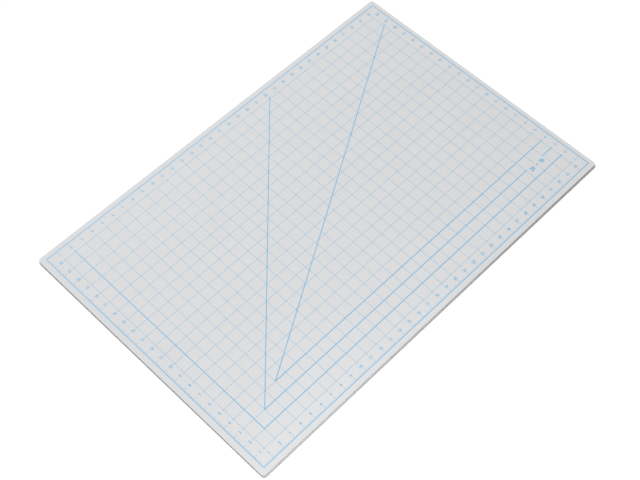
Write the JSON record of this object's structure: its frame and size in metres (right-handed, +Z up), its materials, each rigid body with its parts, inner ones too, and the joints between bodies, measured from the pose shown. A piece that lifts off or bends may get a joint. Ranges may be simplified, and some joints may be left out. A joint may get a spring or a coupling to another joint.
{
  "type": "self healing mat",
  "caption": "Flat rectangular self healing cutting mat: a thin white laminate sheet printed in light blue with an inch grid, edge rulers, guide lines and two angle lines.",
  "frame": {"origin": "centre of the underside, on the surface that the mat lies on", "axes": "+X along the long side, +Y along the short side away from the front ruler, +Z up through the printed face"},
  "size_m": [0.9096, 0.6054, 0.003],
  "materials": {
    "skin_white": "matte",
    "healing_layer": "matte",
    "core_sheet": "satin",
    "base_sheet": "matte",
    "ink_blue": "satin"
  },
  "bodies": {
    "root": {"top_skin": "skin_white", "upper_healing_ply": "healing_layer", "core_ply": "core_sheet", "lower_healing_ply": "healing_layer", "non_slip_base": "base_sheet", "inch_grid": "ink_blue", "front_ruler": "ink_blue", "back_ruler": "ink_blue", "left_ruler": "ink_blue", "right_ruler": "ink_blue", "front_numerals": "ink_blue", "back_numerals": "ink_blue", "left_numerals": "ink_blue", "right_numerals": "ink_blue", "left_guide_line": "ink_blue", "front_guide_line": "ink_blue", "second_guide_line": "ink_blue", "third_guide_line": "ink_blue", "angle_line_45": "ink_blue", "angle_line_60": "ink_blue", "size_mark": "ink_blue"}
  },
  "joints": []
}
